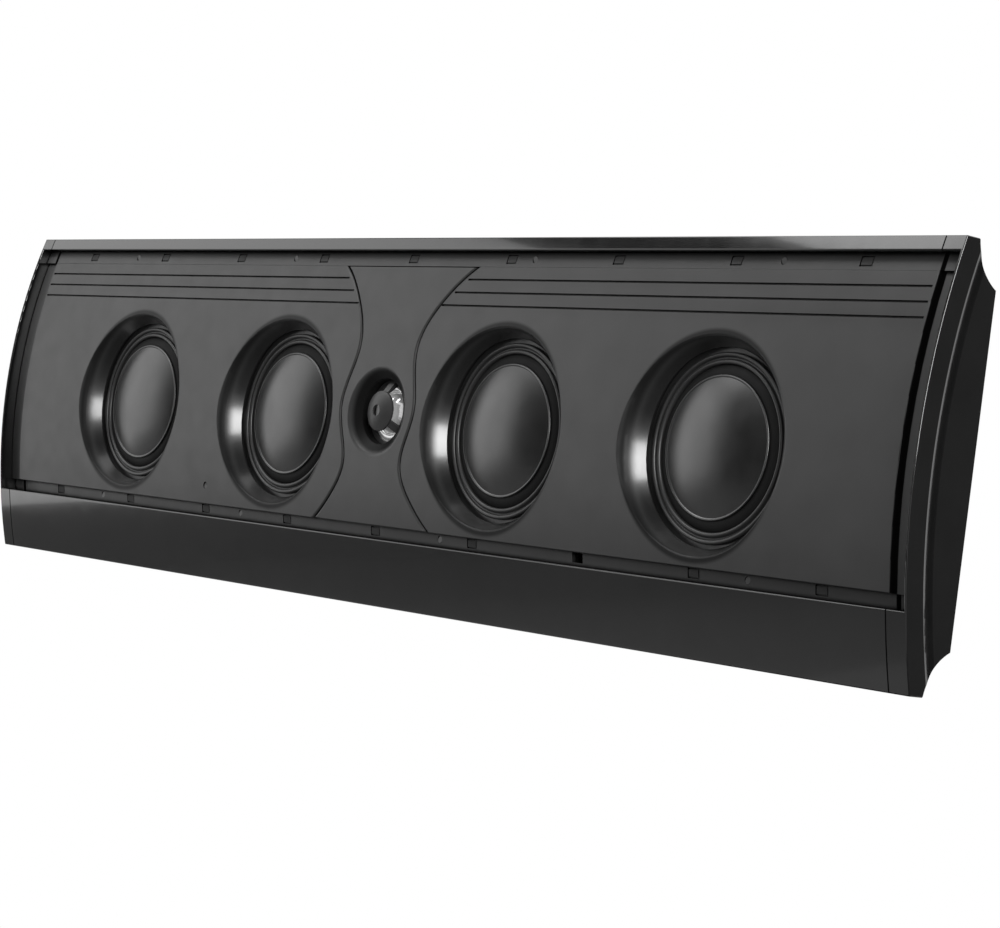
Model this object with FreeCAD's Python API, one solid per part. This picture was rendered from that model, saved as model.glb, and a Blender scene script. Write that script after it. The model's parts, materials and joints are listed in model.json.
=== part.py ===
import FreeCAD, Part
import math
import os
from FreeCAD import Vector

os.makedirs("parts", exist_ok=True)

# On-wall speaker, millimetres. The back plane that lies on the wall is Y = 0, the front faces -Y,
# X runs along the length and Z is up. The origin is the middle of the back plane.

# Woofer sizes
CONE_R = 38.0             # edge of the domed cone
CONE_SKIN = 0.8           # thickness of the cone
CONE_RIM = 1.6            # width of the flat rim round the dome
DOME_RISE = 6.0           # height of the dome above its rim
RIM_RISE = 3.5            # cone rim in front of the frame's flange
SURROUND_W = 5.6          # from the cone's edge to the trim ring
SURROUND_T = 0.5          # rubber thickness
RING_W = 6.3              # width of the trim ring
RING_T = 1.0              # trim ring without its ridges
RIDGE_R = 1.0             # half the width of the two ridges on the trim ring
RIDGE_H = 0.9             # height of the ridges
MOUTH_GAP = 2.5           # gap between the trim ring and the lip of the mouth
MOUTH_LIP = 3.7           # lip of the mouth in front of the woofer's flange
MOUTH_LIP_T = 0.8
MOUTH_STEP = 2.0          # room behind the lip
MOUTH_FLARE = 9.9         # how much the mouth widens from its lip to the front field
MOUTH_ROUND = 8.0         # roundover of the flare
MOUTH_DIP = 0.35          # crest of the roundover in front of the front field
MOUTH_EDGE = 1.2          # small roundover along the edge of the flare
BOSS_WALL = 9.1           # wall of the mouth at the woofer's flange
FLANGE_T = 1.8
FLANGE_EDGE = 1.5         # boss edge left uncovered round the flange
PAN_DEPTH = 5.1           # inside depth of the frame behind its flange
PAN_T = 1.4               # sheet thickness of the frame
PAN_CLEAR = 1.6           # frame wall outside the trim ring's inner edge
PAN_SPOKES = 6
SPOKE_W = 9.0
SPIDER_SHELF_W = 3.0
SPIDER_SHELF_H = 1.6
SPIDER_OUTER_R = 32.0
SPIDER_T = 0.6
SPIDER_WAVE = 1.4         # height of the waves in the spider
SPIDER_WAVES = 3
EXCURSION = 3.0           # travel of the cone each way
COIL_R = 12.3             # inside of the voice coil
COIL_T = 0.8
COIL_GAP = 0.6            # coil to pole plate
CUP_GAP = 0.9             # coil to yoke
COIL_SPARE = 0.4          # coil end to yoke floor at full travel
SPIDER_GAP = 0.3
POLE_T = 3.2
MAGNET_T = 3.2
MAGNET_EDGE = 0.5         # magnet inside the pole plate's edge
YOKE_FLOOR = 2.0
YOKE_WALL = 4.0
YOKE_CLEAR = 0.8          # yoke to the back wall
SCREWS_PER_WOOFER = 4
SCREW_R = 1.6
SCREW_HEAD_R = 3.2
SCREW_HEAD_H = 2.2
SCREW_BITE = 5.0          # thread engagement
SCREW_CLEAR = 0.15

# Layout
WOOFER_INNER_X = 105.9
WOOFER_PITCH = 170.7
END_MARGIN = 140.5        # outer woofer to the end of the cabinet
TWEETER_Z = 5.0
PLATEAU_BELOW = 0.8       # front field below the woofers' bosses

# Cabinet section
WALL = 2.0
DEPTH = 42.0              # back plane to the crown of the front arc
EDGE_DEPTH = 25.8         # back plane to the ends of the front arc
LIP = 9.4                 # thickness of the upper and lower edges
COVE_HEIGHT = 22.5        # height of each hollow at the back
COVE_SAG = 3.4
PANEL_HEIGHT = 39.2       # plain panel below the well
TOP_LEDGE = 8.9
BOTTOM_LEDGE = 7.6
STRIP_HEIGHT = 7.8        # plain strip above the well
EDGE_ROUND = 0.8
WELL_ROUND = 0.7          # front edges of the strip, the panel and the end caps' rims
RETURN_T = 1.5            # walls of the well
SEAT_T = 2.0              # flanges that carry the baffle
SEAT_H = 6.4
SEAT_GAP = 0.15
PORT_R = 4.0              # ports for the end caps' pegs
PEG_R = 1.6
PEG_LENGTH = 8.0
PEG_GAP = 0.05
PORT_INSET = 3.0

# Baffle
PLATEAU_SETBACK = 6.2     # front field behind the front arc
PLATEAU_T = 6.0
TOP_SETBACK = 6.5         # upper ledge behind the front arc
BOTTOM_SETBACK = 11.3     # lower ledge behind the front arc
LEDGE_T = 2.4
BAFFLE_GAP = 0.2
END_GAP = 0.5
SIDE_LEDGE = 14.1         # ledges beside the front field
SIDE_SETBACK = 8.5        # side ledges behind the front arc
PLATEAU_ROUND = 0.5
GROOVE_PITCH = 7.8
GROOVE_COUNT = 3
GROOVE_W = 1.2
GROOVE_DEPTH = 0.9
GROOVE_END = 1.8          # groove ends short of the front field's end
GROOVE_PLATE_GAP = 2.0    # groove ends short of the tweeter plate
CATCH_COUNT = 9
CATCH_END = 52.0          # outermost catch from the end of the cabinet
CATCH_W = 8.7
CATCH_H = 5.3
CATCH_GAP = 0.2
CATCH_GROOVE = 0.8        # groove round the front of a catch
CATCH_GROOVE_DEPTH = 0.9
CATCH_UP = 0.8            # lower row above the middle of its ledge
DOT_X = -175.4            # small round dimple in the front field
DOT_Z = -50.7
DOT_R = 2.2
DOT_DEPTH = 0.5
CATCH_EMPTY = 6           # place in the lower row whose catch is missing
TOP_SCREW_X = (-308.0, -122.0, 111.7, 308.0)
BOTTOM_SCREW_X = (-309.0, -142.5, 62.0, 313.5)
PIN_R = 1.1               # small screws in the ledges
PIN_HEAD_R = 1.9
PIN_HEAD_H = 0.5
PIN_SUNK = 0.15           # screw heads behind the ledge
PIN_LENGTH = 5.0

# Tweeter plate, an hourglass
PLATE_T = 3.0
PLATE_TOP_HALF = 64.6
PLATE_SHOULDER_HALF = 42.5
PLATE_WAIST_HALF = 28.2
PLATE_BULGE_HALF = 35.8
PLATE_FOOT_HALF = 39.3
PLATE_BOTTOM_HALF = 57.0
SHOULDER_DROP = 20.0      # shoulder below the plate's top
WAIST_UP = 37.0           # upper waist above the tweeter
WAIST_DOWN = 32.0         # lower waist below the tweeter
FOOT_RISE = 16.0          # foot above the plate's bottom
SEAM_GAP = 0.6
SEAM_ROUND = 1.4
PLATE_SEAT = 0.1

# Tweeter
DOME_R = 12.5
TWEETER_DOME_RISE = 6.0
ROLL_W = 4.0
ROLL_RISE = 1.3
DIAPHRAGM_T = 0.4
DIAPHRAGM_EDGE = 5.0
THROAT_R = 19.5
THROAT_DEPTH = 10.5       # throat behind the crown of the front field
FLARE_DEPTH = 4.8         # lip of the tweeter's flare behind the crown of the front field
FLARE_R = 27.4
FLARE_ROUND = 3.0
PLUG_RING_W = 3.0         # ring outside the throat
ROLL_CLEAR = 0.6
PLUG_RING_T = 2.2
PLUG_FIT = 0.2
HUB_R = 11.8
HUB_T = 1.2
HUB_NOSE = 2.7            # middle of the hub in front of its edge
HUB_BULGE = 0.38          # share of that rise left half way out
HUB_HOLE_R = 3.4
HUB_CLEAR = 2.9           # hub's edge to the top of the dome
ARM_COUNT = 3
ARM_W = 4.4
ARM_T = 1.8
ARM_TURN = 8.0            # first arm, degrees to the right of straight up
TWEETER_COIL_R = 12.0
TWEETER_COIL_T = 0.6
TWEETER_COIL_LENGTH = 4.0
TWEETER_GAP = 0.5
TWEETER_POLE_T = 2.5
TWEETER_MAGNET_T = 3.5
TWEETER_FLOOR = 2.5
TWEETER_CUP_WALL = 5.0
TWEETER_FLANGE_R = 29.0
TWEETER_FLANGE_T = 2.0
TWEETER_BOSS_EDGE = 1.0
TWEETER_SCREWS = 3
TWEETER_SCREW_RING = 25.8

# Back of the cabinet
CUP_W = 66.0
CUP_H = 36.0
CUP_DEPTH = 15.0
CUP_WALL_T = 2.0
CUP_RIM = 6.0
CUP_RIM_T = 1.1
CUP_FIT = 0.3
CUP_PORT_GAP = 2.0        # terminal cup's rim and crossover board to the ports
CUP_ROUND = 4.0
POST_SPACING = 19.0
POST_R = 5.5
POST_LENGTH = 12.0
POST_STUD_R = 2.0
POST_TAIL = 3.0
POST_NUT_R = 4.0
POST_FLUTES = 12
POST_BORE_R = 2.0
HANGER_X = 191.2
HANGER_Z = 40.0
KEYHOLE_R = 5.5
KEYHOLE_SLOT_W = 5.2
KEYHOLE_RUN = 14.0
HANGER_W = 26.0
HANGER_H = 40.0
HANGER_DEPTH = 9.0
HANGER_WALL = 1.5
INSERT_X = 40.0
INSERT_R = 4.4
INSERT_THREAD_R = 2.5
INSERT_LENGTH = 11.0
INSERT_HEAD_R = 6.5
INSERT_HEAD_T = 0.8

# Crossover and wadding
BOARD_W = 108.0
BOARD_H = 36.0
BOARD_T = 1.6
BOARD_STAND = 4.0
STANDOFF_R = 3.2
BOARD_SCREW_INSET = 5.0
INDUCTOR_R = 11.0
INDUCTOR_CORE_R = 4.5
INDUCTOR_H = 8.5
INDUCTOR_X = 30.0
CAPACITOR_R = 4.0
CAPACITOR_L = 16.0
CAPACITOR_X = 9.5
WADDING_W = 58.0
WADDING_H = 118.0
WADDING_GAP = 0.3
WADDING_EASE = 3.0        # pad to the front field's back
WADDING_ROUND = 6.0

# End caps
CAP_W = 13.7
JOINT_GAP = 0.9
RIM_T = 1.7               # thin rim beside the well
BAND_W = 11.5             # flat band round the outer side
SCOOP = 1.3               # hollow of the side behind the band
SCOOP_RUN = 8.0
CAP_WALL = 2.4
CAP_POCKET = 9.0

# Places that follow from the sizes above
SURROUND_OUT_R = CONE_R + SURROUND_W
RING_OUT_R = SURROUND_OUT_R + RING_W
MOUTH_R = RING_OUT_R + MOUTH_GAP
BOSS_R = MOUTH_R + BOSS_WALL
FLANGE_R = BOSS_R - FLANGE_EDGE
MOUTH_OUT_R = MOUTH_R + MOUTH_FLARE
FLANGE_SCREW_RING = (MOUTH_R + MOUTH_STEP + BOSS_R) / 2

YOKE_BACK = -(WALL + YOKE_CLEAR)
MAGNET_BACK = YOKE_BACK - YOKE_FLOOR
POLE_BACK = MAGNET_BACK - MAGNET_T
PAN_BACK = POLE_BACK - POLE_T
PAN_FRONT = PAN_BACK - PAN_T
FLANGE_BACK = PAN_FRONT - PAN_DEPTH
FLANGE_FRONT = FLANGE_BACK - FLANGE_T
LIP_FRONT = FLANGE_FRONT - SURROUND_T
RIM_FRONT = FLANGE_FRONT - RIM_RISE
RIM_BACK = RIM_FRONT + CONE_SKIN
COIL_BACK = MAGNET_BACK - EXCURSION - COIL_SPARE
COIL_OUT_R = COIL_R + COIL_T
YOKE_IN_R = COIL_OUT_R + CUP_GAP
YOKE_OUT_R = YOKE_IN_R + YOKE_WALL

PLATEAU_BOTTOM = -(BOSS_R + PLATEAU_BELOW)
WELL_BOTTOM = PLATEAU_BOTTOM - BOTTOM_LEDGE
HALF_HEIGHT = PANEL_HEIGHT - WELL_BOTTOM
WELL_TOP = HALF_HEIGHT - STRIP_HEIGHT
PLATEAU_TOP = WELL_TOP - TOP_LEDGE
BACK_HALF = HALF_HEIGHT - COVE_HEIGHT
WOOFER_OUTER_X = WOOFER_INNER_X + WOOFER_PITCH
BODY_HALF = WOOFER_OUTER_X + END_MARGIN
HALF_WIDTH = BODY_HALF + CAP_W
BAFFLE_HALF = HALF_WIDTH - RIM_T - END_GAP
FIELD_HALF = BAFFLE_HALF - SIDE_LEDGE
WOOFERS = {1: -WOOFER_OUTER_X, 2: -WOOFER_INNER_X, 3: WOOFER_INNER_X, 4: WOOFER_OUTER_X}

CROWN_RISE = DEPTH - EDGE_DEPTH
ARC_RADIUS = (HALF_HEIGHT ** 2 + CROWN_RISE ** 2) / (2 * CROWN_RISE)
ARC_CENTRE_Y = ARC_RADIUS - DEPTH
BEHIND = DEPTH            # a setback that passes the back plane
AHEAD = -2.0              # a setback in front of the front arc

TOP_SEAT = TOP_SETBACK + LEDGE_T + SEAT_GAP
BOTTOM_SEAT = BOTTOM_SETBACK + LEDGE_T + SEAT_GAP
TOP_ROW_Z = (PLATEAU_TOP + WELL_TOP) / 2
BOTTOM_ROW_Z = (PLATEAU_BOTTOM + WELL_BOTTOM) / 2 + CATCH_UP
CATCH_HALF = BODY_HALF - CATCH_END
CATCH_PITCH = 2 * CATCH_HALF / (CATCH_COUNT - 1)

PLATEAU_CROWN = -DEPTH + PLATEAU_SETBACK
THROAT_Y = PLATEAU_CROWN + THROAT_DEPTH
FLARE_Y = PLATEAU_CROWN + FLARE_DEPTH
PLUG_BACK = THROAT_Y + PLUG_RING_T
DIAPHRAGM_BACK = PLUG_BACK + DIAPHRAGM_T
TWEETER_FRONT = DIAPHRAGM_BACK
PLUG_RING_R = THROAT_R + PLUG_RING_W
TWEETER_POLE_R = TWEETER_COIL_R - TWEETER_GAP
TWEETER_CUP_R = TWEETER_COIL_R + TWEETER_COIL_T + TWEETER_GAP
TWEETER_BOSS_R = TWEETER_FLANGE_R + TWEETER_BOSS_EDGE
POLE_PLACE = TWEETER_FRONT + DIAPHRAGM_T
CUP_FRONT = -CUP_DEPTH
PORT_EDGE = BACK_HALF - PORT_INSET - PORT_R - CUP_PORT_GAP
CUP_Z = CUP_RIM + CUP_H / 2 - PORT_EDGE
BOARD_Z = PORT_EDGE - BOARD_H / 2


def save(shape, node):
    """One file for each node."""
    shape.exportStep("parts/" + node + ".step")


def group(shapes):
    """Separate solids that share a node."""
    return Part.makeCompound(shapes)


def front_y(z, setback=0.0):
    """Y at height z of the arc that lies a setback behind the front arc."""
    return ARC_CENTRE_Y - math.sqrt((ARC_RADIUS - setback) ** 2 - z ** 2)


def prism(face, x_low, x_high):
    """A face drawn at X = 0, drawn out along X."""
    return face.translated(Vector(x_low, 0, 0)).extrude(Vector(x_high - x_low, 0, 0))


def arc_band(near, far, z_low, z_high, x_low, x_high):
    """The space between two setbacks behind the front arc and two heights."""
    z_mid = (z_low + z_high) / 2

    def point(setback, z):
        return Vector(0, front_y(z, setback), z)

    edges = [
        Part.Arc(point(near, z_low), point(near, z_mid), point(near, z_high)).toShape(),
        Part.makeLine(point(near, z_high), point(far, z_high)),
        Part.Arc(point(far, z_high), point(far, z_mid), point(far, z_low)).toShape(),
        Part.makeLine(point(far, z_low), point(near, z_low)),
    ]
    return prism(Part.Face(Part.Wire(edges)), x_low, x_high)


def outline_face():
    """The cabinet's outer section: front arc, thin edges, hollows and back plane."""
    half = HALF_HEIGHT
    lip_y = -EDGE_DEPTH + LIP
    chord = math.hypot(lip_y, COVE_HEIGHT)
    mid_y = lip_y / 2 - COVE_SAG * COVE_HEIGHT / chord
    mid_z = (half + BACK_HALF) / 2 + COVE_SAG * lip_y / chord
    front = Part.Arc(Vector(0, -EDGE_DEPTH, -half), Vector(0, -DEPTH, 0), Vector(0, -EDGE_DEPTH, half))
    upper = Part.Arc(Vector(0, lip_y, half), Vector(0, mid_y, mid_z), Vector(0, 0, BACK_HALF))
    lower = Part.Arc(Vector(0, 0, -BACK_HALF), Vector(0, mid_y, -mid_z), Vector(0, lip_y, -half))
    edges = [
        front.toShape(),
        Part.makeLine(Vector(0, -EDGE_DEPTH, half), Vector(0, lip_y, half)),
        upper.toShape(),
        Part.makeLine(Vector(0, 0, BACK_HALF), Vector(0, 0, -BACK_HALF)),
        lower.toShape(),
        Part.makeLine(Vector(0, lip_y, -half), Vector(0, -EDGE_DEPTH, -half)),
    ]
    return Part.Face(Part.Wire(edges))


def outline_blank(x_low, x_high):
    """The outer section drawn out along X, with its thin edges rounded."""
    blank = prism(outline_face(), x_low, x_high)
    long_edges = []
    for edge in blank.Edges:
        low, high = edge.BoundBox, edge.BoundBox
        along = low.XLength > (x_high - x_low) * 0.9
        at_lip = abs(abs(high.ZMax) - HALF_HEIGHT) < 1e-6
        if along and at_lip:
            long_edges.append(edge)
    return blank.makeFillet(EDGE_ROUND, long_edges)


def cylinder(x, z, radius, y_front, y_back):
    """A round bar along Y."""
    return Part.makeCylinder(radius, y_back - y_front, Vector(x, y_front, z), Vector(0, 1, 0))


def tube(x, z, outer, inner, y_front, y_back):
    """A ring along Y."""
    return cylinder(x, z, outer, y_front, y_back).cut(cylinder(x, z, inner, y_front, y_back))


def block(x_mid, z_mid, width, height, y_front, y_back):
    """A box centred in X and Z."""
    corner = Vector(x_mid - width / 2, y_front, z_mid - height / 2)
    return Part.makeBox(width, y_back - y_front, height, corner)


def rounded_block(x_mid, z_mid, width, height, y_front, y_back, radius):
    """A box whose four edges along Y are rounded."""
    box = block(x_mid, z_mid, width, height, y_front, y_back)
    along = [e for e in box.Edges if e.BoundBox.YLength > (y_back - y_front) * 0.9]
    return box.makeFillet(radius, along)


def turned(x, z, start, steps):
    """A solid turned about an axis along Y. A profile step is a point, or a middle and an end of an arc,
    each as radius and Y."""

    def at(point):
        return Vector(x + point[0], point[1], z)

    edges = []
    here = start
    for step in list(steps) + [start]:
        if isinstance(step[0], tuple):
            middle, end = step
            edges.append(Part.Arc(at(here), at(middle), at(end)).toShape())
            here = end
        elif math.dist(here, step) > 1e-9:
            edges.append(Part.makeLine(at(here), at(step)))
            here = step
    face = Part.Face(Part.Wire(edges))
    return face.revolve(Vector(x, 0, z), Vector(0, 1, 0), 360)


def ring_places(x, z, radius, count, first):
    """Points evenly spaced round an axis, the first at an angle from straight up."""
    places = []
    for k in range(count):
        angle = math.radians(first + 360.0 * k / count)
        places.append((x + radius * math.sin(angle), z + radius * math.cos(angle)))
    return places


def screw(x, z, seat_y, towards, radius, head_r, head_h, length):
    """A round-headed screw along Y, its head on the side away from towards."""
    head = cylinder(x, z, head_r, 0, head_h)
    shank = cylinder(x, z, radius, -length, 0)
    body = head.fuse(shank).removeSplitter()
    if towards > 0:
        body = body.mirror(Vector(0, 0, 0), Vector(0, 1, 0))
    return body.translated(Vector(0, seat_y, 0))


def mirrored(shape):
    """The same piece at the other end."""
    return shape.mirror(Vector(0, 0, 0), Vector(1, 0, 0))


def catch_places():
    """The catches of both rows as X and Z, with the place in the row."""
    for row_z in (TOP_ROW_Z, BOTTOM_ROW_Z):
        for k in range(CATCH_COUNT):
            yield k, -CATCH_HALF + k * CATCH_PITCH, row_z


def catch_space(x, z, inset, near, far):
    """The place of one catch in its ledge, between two setbacks."""
    half_w = CATCH_W / 2 - inset
    half_h = CATCH_H / 2 - inset
    return arc_band(near, far, z - half_h, z + half_h, x - half_w, x + half_w)


def ledge_setback(z):
    """Which ledge a height belongs to."""
    return TOP_SETBACK if z > 0 else BOTTOM_SETBACK


def port_places():
    """Y and Z of the ports in the cabinet that take the end caps' pegs."""
    panel_z = -(HALF_HEIGHT - PANEL_HEIGHT / 2)
    back_y = -(WALL + PORT_R * 0.9)
    panel_y = front_y(panel_z, WALL + PORT_R * 0.9)
    return [(back_y, BACK_HALF - PORT_INSET), (back_y, -BACK_HALF + PORT_INSET), (panel_y, panel_z)]


def along_x(y, z, radius, x_low, x_high):
    """A round bar along X."""
    return Part.makeCylinder(radius, x_high - x_low, Vector(x_low, y, z), Vector(1, 0, 0))


def plate_outline(inset):
    """The hourglass between the baffle's left and right fields, seen from the front."""
    halves = [
        (PLATE_TOP_HALF, PLATEAU_TOP),
        (PLATE_SHOULDER_HALF, PLATEAU_TOP - SHOULDER_DROP),
        (PLATE_WAIST_HALF, TWEETER_Z + WAIST_UP),
        (PLATE_BULGE_HALF, TWEETER_Z),
        (PLATE_WAIST_HALF, TWEETER_Z - WAIST_DOWN),
        (PLATE_FOOT_HALF, PLATEAU_BOTTOM + FOOT_RISE),
        (PLATE_BOTTOM_HALF, PLATEAU_BOTTOM),
    ]
    right = [Vector(half - inset, 0, z) for half, z in halves]
    left = [Vector(inset - half, 0, z) for half, z in reversed(halves)]
    edges = []
    for points in (right, left):
        curve = Part.BSplineCurve()
        curve.interpolate(points)
        edges.append(curve.toShape())
    edges.append(Part.makeLine(right[-1], left[0]))
    edges.append(Part.makeLine(left[-1], right[0]))
    face = Part.Face(Part.Wire(Part.__sortEdges__(edges)))
    return face.translated(Vector(0, -DEPTH, 0)).extrude(Vector(0, DEPTH, 0))


def edges_on_front(shape, setback, wanted):
    """Edges that lie on the arc of a setback and whose points the test accepts."""
    found = []
    for edge in shape.Edges:
        points = edge.discretize(7)
        on_arc = all(abs(p.y - front_y(p.z, setback)) < 1e-3 for p in points)
        if on_arc and all(wanted(p) for p in points):
            found.append(edge)
    return found


def mouth_space(x):
    """The space inside a woofer's mouth: lip, sloping wall and roundover, with the room behind the lip."""
    lip = FLANGE_FRONT - MOUTH_LIP
    lip_back = lip + MOUTH_LIP_T
    run = math.sqrt(MOUTH_ROUND ** 2 - (MOUTH_ROUND - MOUTH_DIP) ** 2)
    centre_r = MOUTH_OUT_R + run
    crest = PLATEAU_CROWN - MOUTH_DIP
    centre_y = crest + MOUTH_ROUND
    away = math.hypot(MOUTH_R - centre_r, lip - centre_y)
    towards = math.atan2(lip - centre_y, MOUTH_R - centre_r)
    touch = towards + math.acos(MOUTH_ROUND / away)
    top = 1.5 * math.pi

    def on_round(angle):
        return (centre_r + MOUTH_ROUND * math.cos(angle), centre_y + MOUTH_ROUND * math.sin(angle))

    flare = turned(x, 0, (0, lip_back), [
        (MOUTH_R, lip_back), (MOUTH_R, lip), on_round(touch), (on_round((touch + top) / 2), (centre_r, crest)),
        (centre_r, crest - DEPTH), (0, crest - DEPTH)])
    return flare.fuse(cylinder(x, 0, MOUTH_R + MOUTH_STEP, lip_back, FLANGE_FRONT + 1))


def keyhole(x, y_front, y_back):
    """Round entry below a slot for a screw's shank."""
    entry = cylinder(x, HANGER_Z, KEYHOLE_R, y_front, y_back)
    slot = block(x, HANGER_Z + KEYHOLE_RUN / 2, KEYHOLE_SLOT_W, KEYHOLE_RUN, y_front, y_back)
    end = cylinder(x, HANGER_Z + KEYHOLE_RUN, KEYHOLE_SLOT_W / 2, y_front, y_back)
    return entry.fuse([slot, end])


def at_well(p):
    """Whether a point lies on the upper or lower edge of the well."""
    return min(abs(p.z - WELL_TOP), abs(p.z - WELL_BOTTOM)) < 1e-4


def make_cabinet():
    """One extrusion: plain strip, lower panel, hollowed edges, back wall and the flanges that carry the
    baffle."""
    half = BODY_HALF
    outer = outline_blank(-half, half)
    inner = prism(outline_face().makeOffset2D(-WALL), -half, half)
    shell = outer.cut(inner)
    shell = shell.cut(arc_band(AHEAD, WALL + SEAT_GAP, WELL_BOTTOM, WELL_TOP, -half, half))
    walls = [
        arc_band(0, BEHIND, WELL_TOP, WELL_TOP + RETURN_T, -half, half).common(outer),
        arc_band(TOP_SEAT, TOP_SEAT + SEAT_T, WELL_TOP - SEAT_H, WELL_TOP + RETURN_T, -half, half),
        arc_band(0, BOTTOM_SEAT + SEAT_T, WELL_BOTTOM - RETURN_T, WELL_BOTTOM, -half, half),
        arc_band(BOTTOM_SEAT, BOTTOM_SEAT + SEAT_T, WELL_BOTTOM, WELL_BOTTOM + SEAT_H, -half, half),
    ]
    ports = [along_x(y, z, PORT_R, -half, half).common(outer) for y, z in port_places()]
    shell = shell.fuse(walls + ports).removeSplitter()
    shell = shell.makeFillet(WELL_ROUND, edges_on_front(shell, 0, at_well))
    cuts = [along_x(y, z, PEG_R + PEG_GAP, -half, half) for y, z in port_places()]
    cup_w = CUP_W + 2 * CUP_FIT
    cup_h = CUP_H + 2 * CUP_FIT
    cuts.append(rounded_block(0, CUP_Z, cup_w, cup_h, -WALL * 2, WALL, CUP_ROUND + CUP_FIT))
    for side in (-1, 1):
        cuts.append(keyhole(side * HANGER_X, -WALL * 2, WALL))
        cuts.append(cylinder(side * INSERT_X, 0, INSERT_R + CUP_FIT / 2, -WALL * 2, WALL))
        cuts.append(cylinder(side * INSERT_X, 0, INSERT_HEAD_R + CUP_FIT / 2, -INSERT_HEAD_T, WALL))
    cuts += [cup_rim_recess()]
    for x, z in terminal_screw_places():
        cuts.append(cylinder(x, z, PIN_R + SCREW_CLEAR, -WALL * 2, WALL))
    for place, x, z in catch_places():
        if z < 0:
            cuts.append(catch_space(x, z, 0, BOTTOM_SEAT - SEAT_GAP, BOTTOM_SEAT + 2 * SEAT_T))
    for x, z in pin_places():
        y = front_y(z, ledge_setback(z))
        cuts.append(cylinder(x, z, PIN_R + SCREW_CLEAR, y, pin_seat(z) + PIN_LENGTH + SEAT_GAP))
    return shell.cut(cuts)


def cup_rim_recess():
    """The shallow step in the back wall that takes the terminal cup's rim."""
    width = CUP_W + 2 * CUP_RIM + 2 * CUP_FIT
    height = CUP_H + 2 * CUP_RIM + 2 * CUP_FIT
    return rounded_block(0, CUP_Z, width, height, -CUP_RIM_T, WALL, CUP_ROUND)


def terminal_screw_places():
    """The four corners of the terminal cup's rim."""
    dx = CUP_W / 2 + CUP_RIM / 2
    dz = CUP_H / 2 + CUP_RIM / 2
    return [(sx * dx, CUP_Z + sz * dz) for sx in (-1, 1) for sz in (-1, 1)]


def pin_places():
    """The small screws that hold the baffle along its ledges."""
    return [(x, TOP_ROW_Z) for x in TOP_SCREW_X] + [(x, BOTTOM_ROW_Z) for x in BOTTOM_SCREW_X]


def pin_seat(z):
    """Where the head of a small ledge screw sits."""
    return front_y(z, ledge_setback(z)) + PIN_SUNK + PIN_HEAD_H


def make_end_cap():
    """Right-hand end moulding: full front beside the strip and the panel, cut back to a thin rim beside the
    well, a flat band round its outer side and a hollowed flank behind the band."""
    inside = BODY_HALF + JOINT_GAP
    cap = outline_blank(inside, HALF_WIDTH)
    recess = arc_band(AHEAD, BOTTOM_SEAT, WELL_BOTTOM, WELL_TOP, inside - 1, HALF_WIDTH - RIM_T)
    cap = cap.cut([recess, flank_scoop()])

    def at_rim(p):
        return at_well(p) or min(abs(p.x - HALF_WIDTH), abs(p.x - HALF_WIDTH + RIM_T)) < 1e-4

    cap = cap.makeFillet(WELL_ROUND, edges_on_front(cap, 0, at_rim))
    section = outline_face().makeOffset2D(-CAP_WALL)
    pocket = prism(section, inside - 1, inside + CAP_POCKET)
    floor = BOTTOM_SEAT + CAP_WALL
    pocket = pocket.common(arc_band(floor, 2 * BEHIND, WELL_BOTTOM, WELL_TOP, inside - 1, HALF_WIDTH))
    roots = [along_x(y, z, PORT_R, inside - 1, HALF_WIDTH) for y, z in port_places()]
    cap = cap.cut(pocket.cut(roots))
    pegs = [along_x(y, z, PEG_R, inside - PEG_LENGTH, inside + 1) for y, z in port_places()]
    return cap.fuse(pegs).removeSplitter()


def flank_scoop():
    """The space taken off an end cap's outer side behind its flat band."""
    radius = (SCOOP ** 2 + SCOOP_RUN ** 2) / (2 * SCOOP)
    start_y = -DEPTH + BAND_W
    centre_x = HALF_WIDTH - SCOOP + radius
    half_angle = math.asin(SCOOP_RUN / radius) / 2
    middle = Vector(centre_x - radius * math.cos(half_angle),
                    start_y + SCOOP_RUN - radius * math.sin(half_angle), 0)
    start = Vector(HALF_WIDTH, start_y, 0)
    end = Vector(HALF_WIDTH - SCOOP, start_y + SCOOP_RUN, 0)
    far = DEPTH
    corners = [Vector(end.x, far, 0), Vector(HALF_WIDTH + CAP_W, far, 0), Vector(HALF_WIDTH + CAP_W, start_y, 0)]
    edges = [Part.Arc(start, middle, end).toShape()]
    points = [end] + corners + [start]
    edges += [Part.makeLine(a, b) for a, b in zip(points, points[1:])]
    face = Part.Face(Part.Wire(edges))
    centre = Vector(0, ARC_CENTRE_Y, 0)
    sweep = math.degrees(math.asin(HALF_HEIGHT / (ARC_RADIUS - 2 * DEPTH))) + 2
    face.rotate(centre, Vector(1, 0, 0), -sweep)
    return face.revolve(centre, Vector(1, 0, 0), 2 * sweep)


def at_field_rim(p):
    """Whether a point lies on the outer rim of the front field."""
    across = min(abs(p.z - PLATEAU_TOP), abs(p.z - PLATEAU_BOTTOM))
    return min(across, abs(abs(p.x) - FIELD_HALF)) < 1e-4


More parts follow.
